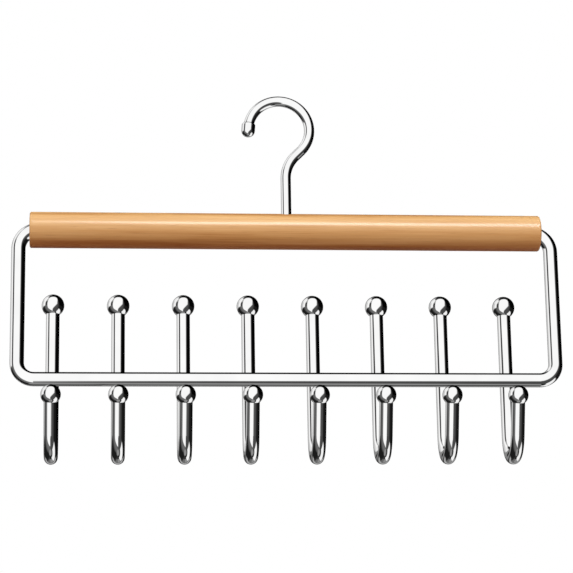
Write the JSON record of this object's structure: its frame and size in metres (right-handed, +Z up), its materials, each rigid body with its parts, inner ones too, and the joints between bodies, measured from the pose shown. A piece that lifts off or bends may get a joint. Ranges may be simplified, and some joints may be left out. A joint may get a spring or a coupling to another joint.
{
  "type": "tie hanger",
  "caption": "Tie hanger with a turned wooden bar, a chromed wire frame, a row of ball-ended J hooks for neckties and a swivelling rail hook.",
  "frame": {"origin": "the point on the inside of the rail hook that rests on top of the wardrobe rail", "axes": "+X along the wooden bar to the right as seen from the front, +Y away from the viewer, +Z up"},
  "size_m": [0.35, 0.0525, 0.2438],
  "materials": {
    "wood": "clear satin lacquer over light turned wood with faint lengthwise grain",
    "chrome": "bright mirror chrome plate on round steel wire and balls",
    "brass": "turned brass, plain",
    "steel": "plain stamped steel washer"
  },
  "bodies": {
    "hook": {"rail_hook": "chrome", "rail_hook_ball": "chrome"},
    "hanger": {"wood_bar": "wood", "wire_frame": "chrome", "hook_rod_1": "chrome", "hook_rod_2": "chrome", "hook_rod_3": "chrome", "hook_rod_4": "chrome", "hook_rod_5": "chrome", "hook_rod_6": "chrome", "hook_rod_7": "chrome", "hook_rod_8": "chrome", "upper_ball_1": "chrome", "upper_ball_2": "chrome", "upper_ball_3": "chrome", "upper_ball_4": "chrome", "upper_ball_5": "chrome", "upper_ball_6": "chrome", "upper_ball_7": "chrome", "upper_ball_8": "chrome", "front_ball_1": "chrome", "front_ball_2": "chrome", "front_ball_3": "chrome", "front_ball_4": "chrome", "front_ball_5": "chrome", "front_ball_6": "chrome", "front_ball_7": "chrome", "front_ball_8": "chrome", "swivel_bushing": "brass", "thrust_washer": "steel"}
  },
  "joints": [
    {"name": "hook_swivel", "type": "hinge", "parent": "hook", "child": "hanger", "pos_m": [0.004, 0, -0.085], "axis": [0, 0, 1], "continuous": true}
  ]
}
